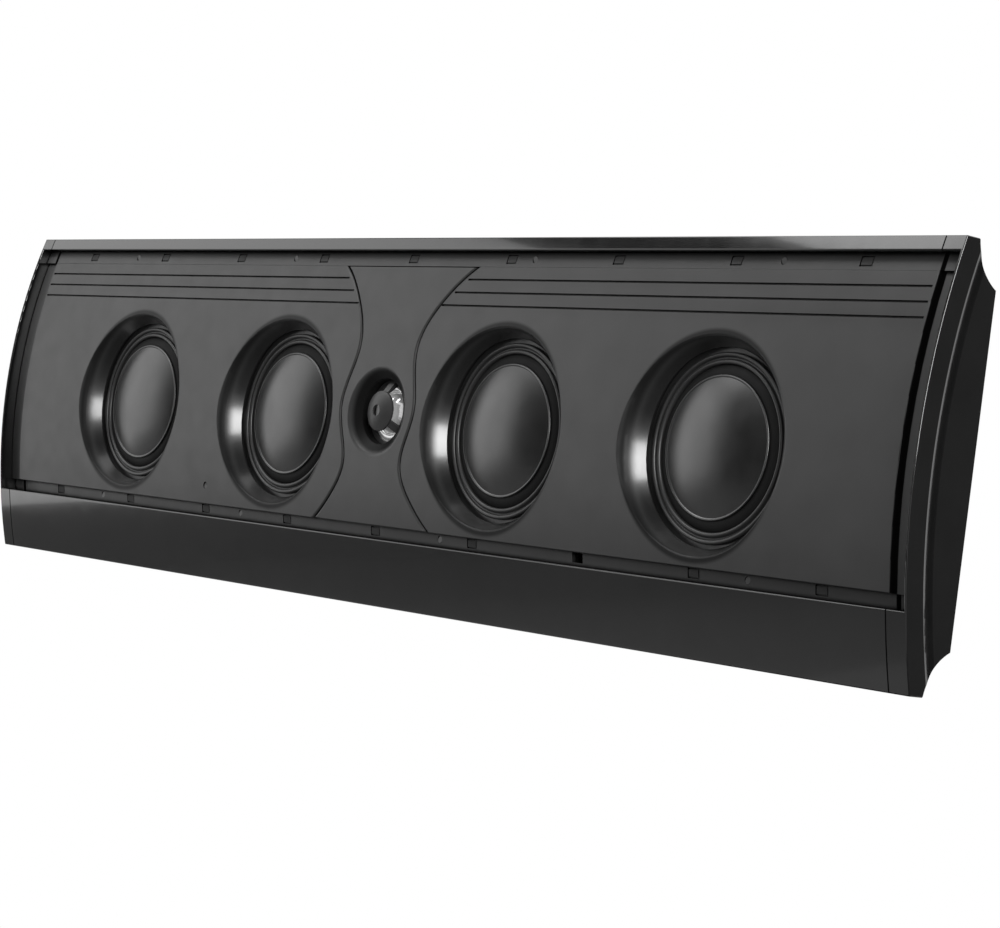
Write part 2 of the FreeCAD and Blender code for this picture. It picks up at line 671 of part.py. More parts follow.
def make_baffle():
    """Moulded front: raised field with woofer mouths, grooves, ledges with square sockets, and the recess of
    the tweeter plate."""
    half = FIELD_HALF
    field = arc_band(PLATEAU_SETBACK, PLATEAU_SETBACK + PLATEAU_T, PLATEAU_BOTTOM, PLATEAU_TOP, -half, half)
    recess_floor = PLATEAU_SETBACK + PLATE_T + PLATE_SEAT
    field = field.cut(plate_outline(0).common(
        arc_band(AHEAD, recess_floor, PLATEAU_BOTTOM, PLATEAU_TOP, -half, half)))
    seam = edges_on_front(field, PLATEAU_SETBACK, lambda p: abs(p.x) < half - 1)
    field = field.makeFillet(SEAM_ROUND, [e for e in seam if e.BoundBox.ZLength > PLATEAU_TOP])
    rim = edges_on_front(field, PLATEAU_SETBACK, at_field_rim)
    field = field.makeFillet(PLATEAU_ROUND, rim)
    wide = BAFFLE_HALF
    ledges = [
        arc_band(TOP_SETBACK, TOP_SETBACK + LEDGE_T, PLATEAU_TOP, WELL_TOP - BAFFLE_GAP, -wide, wide),
        arc_band(BOTTOM_SETBACK, BOTTOM_SETBACK + LEDGE_T, WELL_BOTTOM + BAFFLE_GAP, PLATEAU_BOTTOM, -wide, wide),
        arc_band(SIDE_SETBACK, PLATEAU_SETBACK + PLATEAU_T, PLATEAU_BOTTOM, PLATEAU_TOP, -wide, -half),
        arc_band(SIDE_SETBACK, PLATEAU_SETBACK + PLATEAU_T, PLATEAU_BOTTOM, PLATEAU_TOP, half, wide),
    ]
    behind = arc_band(PLATEAU_SETBACK + PLATEAU_ROUND, 2 * BEHIND, -HALF_HEIGHT, HALF_HEIGHT, -half, half)
    bosses = []
    mouths = []
    for x in WOOFERS.values():
        bosses.append(cylinder(x, 0, BOSS_R, PLATEAU_CROWN, FLANGE_FRONT).common(behind))
        mouths.append(mouth_space(x))
    baffle = field.fuse(ledges + bosses).removeSplitter().cut(mouths)

    def at_mouth(p):
        return any(math.hypot(p.x - x, p.z) < MOUTH_OUT_R + 1 for x in WOOFERS.values())

    baffle = baffle.makeFillet(MOUTH_EDGE, edges_on_front(baffle, PLATEAU_SETBACK, at_mouth))
    cuts = [cylinder(0, TWEETER_Z, TWEETER_BOSS_R + SEAM_GAP, -DEPTH, 0)]
    for k in range(GROOVE_COUNT):
        z = PLATEAU_TOP - (k + 1) * GROOVE_PITCH
        inner = plate_half_width(z) + GROOVE_PLATE_GAP
        outer = half - GROOVE_END
        for low_x, high_x in ((-outer, -inner), (inner, outer)):
            cuts.append(arc_band(AHEAD, PLATEAU_SETBACK + GROOVE_DEPTH, z - GROOVE_W / 2, z + GROOVE_W / 2,
                                 low_x, high_x))
    for place, x, z in catch_places():
        ledge = ledge_setback(z)
        cuts.append(catch_space(x, z, 0, ledge - LEDGE_T, ledge + 2 * LEDGE_T))
    for x, z in pin_places():
        y = front_y(z, ledge_setback(z))
        cuts.append(cylinder(x, z, PIN_R + SCREW_CLEAR, y - LEDGE_T, y + 2 * LEDGE_T))
        cuts.append(cylinder(x, z, PIN_HEAD_R + SCREW_CLEAR, y - LEDGE_T, pin_seat(z)))
    dot_y = front_y(DOT_Z, PLATEAU_SETBACK)
    cuts.append(cylinder(DOT_X, DOT_Z, DOT_R, dot_y - 1, dot_y + DOT_DEPTH))
    for x in WOOFERS.values():
        for sx, sz in ring_places(x, 0, FLANGE_SCREW_RING, SCREWS_PER_WOOFER, 45):
            cuts.append(cylinder(sx, sz, SCREW_R + SCREW_CLEAR, FLANGE_FRONT - SCREW_BITE - SCREW_CLEAR,
                                 FLANGE_FRONT + 1))
    return baffle.cut(cuts)


def plate_half_width(z):
    """Half the width of the hourglass near its top, on a straight line from shoulder to top."""
    share = (z - (PLATEAU_TOP - SHOULDER_DROP)) / SHOULDER_DROP
    return PLATE_SHOULDER_HALF + (PLATE_TOP_HALF - PLATE_SHOULDER_HALF) * share


def make_tweeter_plate():
    """Hourglass plate with the tweeter's flare, let into the baffle."""
    back = PLATEAU_SETBACK + PLATE_T
    plate = plate_outline(SEAM_GAP).common(arc_band(
        PLATEAU_SETBACK, back, PLATEAU_BOTTOM + SEAM_GAP, PLATEAU_TOP - SEAM_GAP, -BAFFLE_HALF, BAFFLE_HALF))
    seam = edges_on_front(plate, PLATEAU_SETBACK, lambda p: True)
    seam = [e for e in seam if e.BoundBox.ZLength > PLATEAU_TOP]
    plate = plate.makeFillet(SEAM_ROUND, seam)
    behind = arc_band(PLATEAU_SETBACK + PLATE_T / 2, 2 * BEHIND, PLATEAU_BOTTOM, PLATEAU_TOP, -BODY_HALF, BODY_HALF)
    boss = cylinder(0, TWEETER_Z, TWEETER_BOSS_R, PLATEAU_CROWN, TWEETER_FRONT).common(behind)
    plate = plate.fuse(boss).removeSplitter()
    flare = turned(0, TWEETER_Z, (0, THROAT_Y), [
        (THROAT_R, THROAT_Y), (THROAT_R, FLARE_Y), (FLARE_R, PLATEAU_CROWN), (FLARE_R, PLATEAU_CROWN - DEPTH),
        (0, PLATEAU_CROWN - DEPTH)])
    plate = plate.cut(flare)

    def at_flare(p):
        return math.hypot(p.x, p.z - TWEETER_Z) < FLARE_R + 1

    plate = plate.makeFillet(FLARE_ROUND, edges_on_front(plate, PLATEAU_SETBACK, at_flare))
    cuts = [cylinder(0, TWEETER_Z, PLUG_RING_R + PLUG_FIT, THROAT_Y, TWEETER_FRONT + 1)]
    cuts.append(cylinder(0, TWEETER_Z, THROAT_R, THROAT_Y - 1, TWEETER_FRONT + 1))
    for x, z in ring_places(0, TWEETER_Z, TWEETER_SCREW_RING, TWEETER_SCREWS, 60):
        cuts.append(cylinder(x, z, SCREW_R + SCREW_CLEAR, TWEETER_FRONT - SCREW_BITE - SCREW_CLEAR,
                             TWEETER_FRONT + 1))
    return plate.cut(cuts)


def make_phase_plug():
    """Seating ring, three arms and a hub with a hole, in front of the tweeter's dome."""
    ring = tube(0, TWEETER_Z, PLUG_RING_R, DOME_R + ROLL_W + ROLL_CLEAR, THROAT_Y, PLUG_BACK)
    dome_top = PLUG_BACK - TWEETER_DOME_RISE
    hub_back = dome_top - HUB_CLEAR
    hub_front = hub_back - HUB_T
    nose = hub_front - HUB_NOSE
    middle = (HUB_HOLE_R + HUB_R) / 2
    bulge = nose + HUB_NOSE * HUB_BULGE
    hub = turned(0, TWEETER_Z, (HUB_HOLE_R, nose + HUB_T), [
        ((middle, bulge + HUB_T), (HUB_R, hub_back)), (HUB_R, hub_front), ((middle, bulge), (HUB_HOLE_R, nose))])
    arms = []
    start = HUB_R - ARM_T
    reach = (THROAT_R + PLUG_RING_R) / 2
    foot = PLUG_BACK - PLUG_RING_T / 2
    corners = [(hub_back, start), (hub_front, start), (THROAT_Y - ARM_T, THROAT_R), (THROAT_Y, reach), (foot, reach),
               (foot, DOME_R + ROLL_W + ROLL_CLEAR)]
    points = [Vector(0, y, r) for y, r in corners + corners[:1]]
    profile = Part.Face(Part.makePolygon(points))
    for k in range(ARM_COUNT):
        arm = prism(profile, -ARM_W / 2, ARM_W / 2)
        arm.rotate(Vector(0, 0, 0), Vector(0, 1, 0), ARM_TURN + 360.0 * k / ARM_COUNT)
        arms.append(arm.translated(Vector(0, 0, TWEETER_Z)))
    throat = cylinder(0, TWEETER_Z, THROAT_R - PLUG_FIT, nose - 1, THROAT_Y)
    body = cylinder(0, TWEETER_Z, PLUG_RING_R, THROAT_Y, PLUG_BACK)
    return hub.fuse(arms).common(throat.fuse(body)).fuse(ring).removeSplitter()


def make_tweeter_dome():
    """Formed metal dome with its roll and its flat edge, one membrane."""
    back = PLUG_BACK
    top = back - TWEETER_DOME_RISE
    roll_mid = DOME_R + ROLL_W / 2
    roll_out = DOME_R + ROLL_W
    edge = roll_out + DIAPHRAGM_EDGE
    t = DIAPHRAGM_T
    sphere = (DOME_R ** 2 + TWEETER_DOME_RISE ** 2) / (2 * TWEETER_DOME_RISE)
    half = DOME_R / 2
    sag = sphere - math.sqrt(sphere ** 2 - half ** 2)
    return turned(0, TWEETER_Z, (0, top), [
        ((half, top + sag), (DOME_R, back)),
        ((roll_mid, back - ROLL_RISE), (roll_out, back)),
        (edge, back), (edge, back + t), (roll_out, back + t),
        ((roll_mid, back + t - ROLL_RISE), (DOME_R, back + t)),
        ((half, top + t + sag), (0, top + t))])


def make_tweeter_motor():
    """Coil, pole plate, magnet and yoke of the tweeter."""
    z = TWEETER_Z
    pole_front = POLE_PLACE
    pole_back = pole_front + TWEETER_POLE_T
    magnet_back = pole_back + TWEETER_MAGNET_T
    cup_back = magnet_back + TWEETER_FLOOR
    coil_front = DIAPHRAGM_BACK
    coil = tube(0, z, TWEETER_COIL_R + TWEETER_COIL_T, TWEETER_COIL_R, coil_front, coil_front + TWEETER_COIL_LENGTH)
    pole = cylinder(0, z, TWEETER_POLE_R, pole_front, pole_back)
    magnet = cylinder(0, z, TWEETER_POLE_R - MAGNET_EDGE, pole_back, magnet_back)
    cup = cylinder(0, z, TWEETER_CUP_R + TWEETER_CUP_WALL, TWEETER_FRONT, cup_back)
    flange = cylinder(0, z, TWEETER_FLANGE_R, TWEETER_FRONT, TWEETER_FRONT + TWEETER_FLANGE_T)
    yoke = cup.fuse(flange).removeSplitter()
    cuts = [cylinder(0, z, TWEETER_CUP_R, TWEETER_FRONT - 1, magnet_back)]
    screws = []
    seat = TWEETER_FRONT + TWEETER_FLANGE_T
    for x, sz in ring_places(0, z, TWEETER_SCREW_RING, TWEETER_SCREWS, 60):
        cuts.append(cylinder(x, sz, SCREW_R + SCREW_CLEAR, TWEETER_FRONT - 1, seat + 1))
        screws.append(screw(x, sz, seat, -1, SCREW_R, SCREW_HEAD_R, SCREW_HEAD_H, SCREW_BITE + TWEETER_FLANGE_T))
    save(coil, "tweeter_coil")
    save(pole, "tweeter_pole_plate")
    save(magnet, "tweeter_magnet")
    save(yoke.cut(cuts), "tweeter_yoke")
    save(group(screws), "tweeter_screws")


def dome_y(radius, rim_y):
    """Y of a woofer's dome at a radius, from the Y of its rim."""
    edge = CONE_R - CONE_RIM
    sphere = (edge ** 2 + DOME_RISE ** 2) / (2 * DOME_RISE)
    return rim_y - DOME_RISE + sphere - math.sqrt(sphere ** 2 - radius ** 2)


def make_cone(x):
    """Convex dome with a flat rim."""
    edge = CONE_R - CONE_RIM
    half = edge / 2
    return turned(x, 0, (0, dome_y(0, RIM_FRONT)), [
        ((half, dome_y(half, RIM_FRONT)), (edge, RIM_FRONT)),
        (CONE_R, RIM_FRONT), (CONE_R, RIM_BACK), (edge, RIM_BACK),
        ((half, dome_y(half, RIM_BACK)), (0, dome_y(0, RIM_BACK)))])


def make_surround(x):
    """Rubber edge, rolling back from under the cone's rim to its clamped lip."""
    t = SURROUND_T
    inner = CONE_R - CONE_RIM
    lip_in = SURROUND_OUT_R
    lip_out = RING_OUT_R - t
    drop = FLANGE_FRONT - (RIM_BACK + t)
    mid_r = CONE_R + SURROUND_W * 0.62
    mid_y = RIM_BACK + drop * 0.3
    return turned(x, 0, (inner, RIM_BACK), [
        (CONE_R, RIM_BACK), ((mid_r, mid_y), (lip_in, LIP_FRONT)),
        (lip_out, LIP_FRONT), (lip_out, FLANGE_FRONT), (lip_in, FLANGE_FRONT),
        ((mid_r - t, mid_y + t), (CONE_R - t, RIM_BACK + t)),
        (inner, RIM_BACK + t)])


def make_trim_ring(x):
    """Ring with two ridges over the surround's lip."""
    front = LIP_FRONT - RING_T
    steps = [(RING_OUT_R, LIP_FRONT), (RING_OUT_R, front)]
    for centre in (RING_OUT_R - RIDGE_R * 1.2, SURROUND_OUT_R + RIDGE_R * 1.2):
        steps.append((centre + RIDGE_R, front))
        steps.append((centre + RIDGE_R / 2, front - RIDGE_H))
        steps.append((centre - RIDGE_R / 2, front - RIDGE_H))
        steps.append((centre - RIDGE_R, front))
    steps.append((SURROUND_OUT_R, front))
    return turned(x, 0, (SURROUND_OUT_R, LIP_FRONT), steps)


def make_basket(x):
    """Pressed frame: flange, shallow pan with windows, and the shelf of the spider."""
    pan_in = SURROUND_OUT_R + PAN_CLEAR
    pan_out = pan_in + PAN_T
    hole = COIL_OUT_R + CUP_GAP
    shelf_in = SPIDER_OUTER_R - SPIDER_SHELF_W
    shelf_y = PAN_FRONT - SPIDER_SHELF_H
    frame = turned(x, 0, (hole, PAN_BACK), [
        (pan_out, PAN_BACK), (pan_out, FLANGE_BACK), (FLANGE_R, FLANGE_BACK), (FLANGE_R, FLANGE_FRONT),
        (pan_in, FLANGE_FRONT), (pan_in, PAN_FRONT), (SPIDER_OUTER_R, PAN_FRONT), (SPIDER_OUTER_R, shelf_y),
        (shelf_in, shelf_y), (shelf_in, PAN_FRONT), (hole, PAN_FRONT)])
    window_in = SPIDER_OUTER_R + PAN_T
    window_out = pan_in - PAN_T
    window = tube(x, 0, window_out, window_in, PAN_FRONT - 1, PAN_BACK + 1)
    spokes = []
    for k in range(PAN_SPOKES):
        spoke = block(0, window_out / 2, SPOKE_W, window_out + 1, PAN_FRONT - 1, PAN_BACK + 1)
        spoke.rotate(Vector(0, 0, 0), Vector(0, 1, 0), 360.0 * k / PAN_SPOKES)
        spokes.append(spoke.translated(Vector(x, 0, 0)))
    cuts = [window.cut(spokes)]
    for sx, sz in ring_places(x, 0, FLANGE_SCREW_RING, SCREWS_PER_WOOFER, 45):
        cuts.append(cylinder(sx, sz, SCREW_R + SCREW_CLEAR, FLANGE_FRONT - 1, FLANGE_BACK + 1))
    return frame.cut(cuts)


def make_spider(x):
    """Waved disc from its shelf to the coil."""
    inner = COIL_OUT_R + SPIDER_GAP
    back = PAN_FRONT - SPIDER_SHELF_H
    flat = SPIDER_OUTER_R - SPIDER_SHELF_W
    run = (flat - inner) / (2 * SPIDER_WAVES)
    front_side = [(SPIDER_OUTER_R, back - SPIDER_T)]
    back_side = []
    for k in range(2 * SPIDER_WAVES + 1):
        rise = SPIDER_WAVE if k % 2 else 0.0
        front_side.append((flat - k * run, back - SPIDER_T - rise))
        back_side.insert(0, (flat - k * run, back - rise))
    steps = front_side + back_side
    return turned(x, 0, (SPIDER_OUTER_R, back), steps)


def make_coil(x, cone):
    """Coil on its former, from the back of the dome into the gap."""
    front = dome_y(COIL_OUT_R, RIM_FRONT)
    return tube(x, 0, COIL_OUT_R, COIL_R, front, COIL_BACK).cut(cone)


def make_woofer(number, x):
    """The pieces of one woofer. Its magnet shares a node with the others."""
    name = "woofer_%d_" % number
    cone = make_cone(x)
    yoke = cylinder(x, 0, YOKE_OUT_R, PAN_BACK, YOKE_BACK)
    yoke = yoke.cut(cylinder(x, 0, YOKE_IN_R, PAN_BACK - 1, MAGNET_BACK))
    save(cone, name + "cone")
    save(make_coil(x, cone), name + "voice_coil")
    save(make_surround(x), name + "surround")
    save(make_trim_ring(x), name + "trim_ring")
    save(make_basket(x), name + "basket")
    save(make_spider(x), name + "spider")
    save(cylinder(x, 0, COIL_R - COIL_GAP, PAN_BACK, POLE_BACK), name + "pole_plate")
    save(yoke, name + "yoke")


def make_woofer_magnets():
    """The four magnet discs."""
    radius = COIL_R - COIL_GAP - MAGNET_EDGE
    return group([cylinder(x, 0, radius, POLE_BACK, MAGNET_BACK) for x in WOOFERS.values()])


def make_woofer_screws():
    """Screws from behind, through the woofers' flanges into the baffle."""
    screws = []
    for x in WOOFERS.values():
        for sx, sz in ring_places(x, 0, FLANGE_SCREW_RING, SCREWS_PER_WOOFER, 45):
            screws.append(screw(sx, sz, FLANGE_BACK, -1, SCREW_R, SCREW_HEAD_R, SCREW_HEAD_H,
                                SCREW_BITE + FLANGE_T))
    return group(screws)


def make_catches():
    """Square sockets for the grille's pegs, one of them missing from its pocket."""
    catches = []
    for place, x, z in catch_places():
        if z < 0 and place == CATCH_EMPTY:
            continue
        ledge = ledge_setback(z)
        groove = ledge + CATCH_GROOVE_DEPTH
        face = catch_space(x, z, CATCH_GROOVE, ledge, groove)
        catches.append(face.fuse(catch_space(x, z, CATCH_GAP, groove, ledge + LEDGE_T)).removeSplitter())
    return group(catches)


def make_baffle_screws():
    """Small screws along the ledges."""
    screws = []
    for x, z in pin_places():
        screws.append(screw(x, z, pin_seat(z), 1, PIN_R, PIN_HEAD_R, PIN_HEAD_H, PIN_LENGTH))
    return group(screws)


def make_terminal_cup():
    """Moulded recess for the binding posts, with its rim in the back wall."""
    rim_w = CUP_W + 2 * CUP_RIM
    rim_h = CUP_H + 2 * CUP_RIM
    rim = rounded_block(0, CUP_Z, rim_w, rim_h, -CUP_RIM_T, 0, CUP_ROUND)
    outer = rounded_block(0, CUP_Z, CUP_W, CUP_H, CUP_FRONT, 0, CUP_ROUND)
    inside_w = CUP_W - 2 * CUP_WALL_T
    inside_h = CUP_H - 2 * CUP_WALL_T
    inner = rounded_block(0, CUP_Z, inside_w, inside_h, CUP_FRONT + CUP_WALL_T, WALL, CUP_ROUND - CUP_WALL_T / 2)
    cuts = [inner]
    for side in (-1, 1):
        cuts.append(cylinder(side * POST_SPACING / 2, CUP_Z, POST_STUD_R + SCREW_CLEAR, CUP_FRONT - 1, WALL))
    for x, z in terminal_screw_places():
        cuts.append(cylinder(x, z, PIN_R + SCREW_CLEAR, -WALL, WALL))
        cuts.append(cylinder(x, z, PIN_HEAD_R + SCREW_CLEAR, -PIN_HEAD_H, WALL))
    return rim.fuse(outer).removeSplitter().cut(cuts)


def make_post(x):
    """Binding post: stud, fluted cap with a socket in its end, and the nut inside the cabinet."""
    floor = CUP_FRONT + CUP_WALL_T
    stud = cylinder(x, CUP_Z, POST_STUD_R, CUP_FRONT - POST_TAIL, floor + 1)
    nut = cylinder(x, CUP_Z, POST_NUT_R, CUP_FRONT - POST_TAIL / 2, CUP_FRONT)
    cap = cylinder(x, CUP_Z, POST_R, floor, floor + POST_LENGTH)
    flutes = []
    for fx, fz in ring_places(x, CUP_Z, POST_R, POST_FLUTES, 0):
        flutes.append(cylinder(fx, fz, POST_R / POST_FLUTES, floor + POST_LENGTH / 4, floor + POST_LENGTH + 1))
    cap = cap.cut(flutes)
    cap = cap.cut(cylinder(x, CUP_Z, POST_BORE_R, floor + POST_LENGTH / 3, floor + POST_LENGTH + 1))
    return stud.fuse([nut, cap]).removeSplitter()


def make_terminal_screws():
    """Four small screws in the cup's rim."""
    return group([screw(x, z, -PIN_HEAD_H, -1, PIN_R, PIN_HEAD_R, PIN_HEAD_H, PIN_LENGTH)
                  for x, z in terminal_screw_places()])


def make_hanger_covers():
    """Closed boxes behind the two keyholes, so that the cabinet stays sealed."""
    covers = []
    for side in (-1, 1):
        x = side * HANGER_X
        z = HANGER_Z + KEYHOLE_RUN / 2
        outer = block(x, z, HANGER_W, HANGER_H, -WALL - HANGER_DEPTH, -WALL)
        inner = block(x, z, HANGER_W - 2 * HANGER_WALL, HANGER_H - 2 * HANGER_WALL,
                      -WALL - HANGER_DEPTH + HANGER_WALL, 0)
        covers.append(outer.cut(inner))
    return group(covers)


def make_inserts():
    """Two threaded inserts for a bracket."""
    inserts = []
    for side in (-1, 1):
        x = side * INSERT_X
        body = cylinder(x, 0, INSERT_R, -INSERT_LENGTH, 0)
        head = cylinder(x, 0, INSERT_HEAD_R, -INSERT_HEAD_T, 0)
        insert = body.fuse(head).removeSplitter()
        inserts.append(insert.cut(cylinder(x, 0, INSERT_THREAD_R, -INSERT_LENGTH, 0)))
    return group(inserts)


def board_corners():
    """The board's four screws."""
    dx = BOARD_W / 2 - BOARD_SCREW_INSET
    dz = BOARD_H / 2 - BOARD_SCREW_INSET
    return [(sx * dx, BOARD_Z + sz * dz) for sx in (-1, 1) for sz in (-1, 1)]


def make_crossover():
    """Board on standoffs, with coils and capacitors on its front."""
    back = -WALL - BOARD_STAND
    front = back - BOARD_T
    board = block(0, BOARD_Z, BOARD_W, BOARD_H, front, back)
    holes = [cylinder(x, z, PIN_R + SCREW_CLEAR, front - 1, -WALL) for x, z in board_corners()]
    legs = [cylinder(x, z, STANDOFF_R, back, -WALL) for x, z in board_corners()]
    board = board.fuse(legs).removeSplitter().cut(holes)
    coils = []
    caps = []
    for side in (-1, 1):
        coils.append(tube(side * INDUCTOR_X, BOARD_Z, INDUCTOR_R, INDUCTOR_CORE_R, front - INDUCTOR_H, front))
        start = Vector(side * CAPACITOR_X, front - CAPACITOR_R, BOARD_Z - CAPACITOR_L / 2)
        caps.append(Part.makeCylinder(CAPACITOR_R, CAPACITOR_L, start, Vector(0, 0, 1)))
    screws = [screw(x, z, front, 1, PIN_R, PIN_HEAD_R, PIN_HEAD_H, BOARD_T + BOARD_STAND)
              for x, z in board_corners()]
    save(board, "crossover_board")
    save(group(coils), "inductors")
    save(group(caps), "capacitors")
    save(group(screws), "board_screws")


def make_wadding():
    """Soft pad against the back wall at the right-hand end."""
    x = (WOOFER_OUTER_X + BOSS_R + BODY_HALF) / 2
    back = -WALL - WADDING_GAP
    front = front_y(WADDING_H / 2, PLATEAU_SETBACK + PLATEAU_T) + WADDING_EASE
    return rounded_block(x, 0, WADDING_W, WADDING_H, front, back, WADDING_ROUND)


save(make_cabinet(), "cabinet")
right_cap = make_end_cap()
save(right_cap, "end_cap_right")
save(mirrored(right_cap), "end_cap_left")
save(make_baffle(), "baffle")
save(make_tweeter_plate(), "tweeter_plate")
save(make_phase_plug(), "tweeter_phase_plug")
save(make_tweeter_dome(), "tweeter_dome")
make_tweeter_motor()
for number, woofer_x in WOOFERS.items():
    make_woofer(number, woofer_x)
save(make_woofer_magnets(), "woofer_magnets")
save(make_woofer_screws(), "woofer_screws")
save(make_catches(), "grille_catches")
save(make_baffle_screws(), "baffle_screws")
save(make_terminal_cup(), "terminal_cup")
save(make_post(-POST_SPACING / 2), "binding_post_red")
save(make_post(POST_SPACING / 2), "binding_post_black")
save(make_terminal_screws(), "terminal_screws")
save(make_hanger_covers(), "hanger_covers")
save(make_inserts(), "threaded_inserts")
make_crossover()
right_wadding = make_wadding()
save(right_wadding, "wadding_right")
save(mirrored(right_wadding), "wadding_left")
print("size", 2 * HALF_WIDTH, DEPTH, 2 * HALF_HEIGHT)
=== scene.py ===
import json
import math

import bmesh
import bpy
from mathutils import Matrix, Vector


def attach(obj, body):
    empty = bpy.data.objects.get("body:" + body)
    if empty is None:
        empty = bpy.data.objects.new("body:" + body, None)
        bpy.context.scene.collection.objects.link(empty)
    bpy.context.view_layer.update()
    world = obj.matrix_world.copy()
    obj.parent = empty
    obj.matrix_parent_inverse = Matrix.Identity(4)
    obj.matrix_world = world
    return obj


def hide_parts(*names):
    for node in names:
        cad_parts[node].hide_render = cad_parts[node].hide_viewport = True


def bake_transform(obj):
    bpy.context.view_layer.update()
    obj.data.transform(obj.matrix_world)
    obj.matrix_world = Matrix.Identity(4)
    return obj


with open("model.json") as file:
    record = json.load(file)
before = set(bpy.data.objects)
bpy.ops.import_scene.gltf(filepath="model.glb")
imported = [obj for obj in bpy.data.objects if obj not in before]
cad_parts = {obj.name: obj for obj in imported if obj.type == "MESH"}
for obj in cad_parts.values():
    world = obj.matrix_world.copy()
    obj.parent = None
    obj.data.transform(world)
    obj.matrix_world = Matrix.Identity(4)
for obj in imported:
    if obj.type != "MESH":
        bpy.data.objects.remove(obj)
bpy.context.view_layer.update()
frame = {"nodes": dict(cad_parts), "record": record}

MM = 0.001
ROOT = "cabinet_body"

# Axes of the drivers, in millimetres
WOOFER_X = {1: -276.6, 2: -105.9, 3: 105.9, 4: 276.6}
TWEETER_Z = 5.0


# Materials

# Noise between these two values covers a material's whole range
NOISE_LOW, NOISE_HIGH = 0.3, 0.7
TINT_SCALE, TINT_DETAIL = 35.0, 4.0
ROUGH_SCALE_RATIO, ROUGH_DETAIL = 2.3, 5.0
GRAIN_DETAIL, GRAIN_ROUGH = 2.0, 0.6

# Sockets of a Mix node that mixes colours
MIX_SHARE, MIX_FIRST, MIX_SECOND, MIX_RESULT = 0, 6, 7, 2

# Zones of the moulding where shade is painted in and the mouths are glossed, in metres: each
# pair is where a zone begins and ends fading out
OUTER_MOUTH_X, INNER_MOUTH_X = WOOFER_X[4] * MM, WOOFER_X[3] * MM
MOUTH_WALL = (0.0542, 0.0575)
LIP_START = (0.0548, 0.0580)
LIP_END = (0.0592, 0.0618)
THROAT = (0.023, 0.027)
END_STEP_X, END_STEP_FRONT = 0.4157, -0.0354
END_STEP_WIDTH = (0.0012, 0.0018)
CREVICE_REACH, CREVICE_SAMPLES = 0.003, 6
CREVICE_OPENNESS = (0.40, 0.88)

# What the zones do to the moulding: painted shade in its colour and reflection, and its
# roughness, coat and grain
PAINTED_SHADE_GREY = 0.002
PAINTED_THROAT_SHADE = 0.85
PAINTED_WALL_SHADE = 0.7
PAINTED_LIP_SHADE = 0.7
PLAIN_SPECULAR = 0.5
CREVICE_ROUGHENING = 0.4
WALL_COAT, WALL_COAT_ROUGH = 0.9, 0.18
MOULDING_ROUGH_SCALE = 80.0
MOULDING_GRAIN, MOULDING_BUMP, MOULDING_BUMP_DISTANCE = 2600, 0.08, 0.0002


def grey(value, warm=0.0):
    return (value * (1 + warm), value, value * (1 - warm))


def set_inputs(node, values):
    for key, value in values.items():
        node.inputs[key].default_value = value


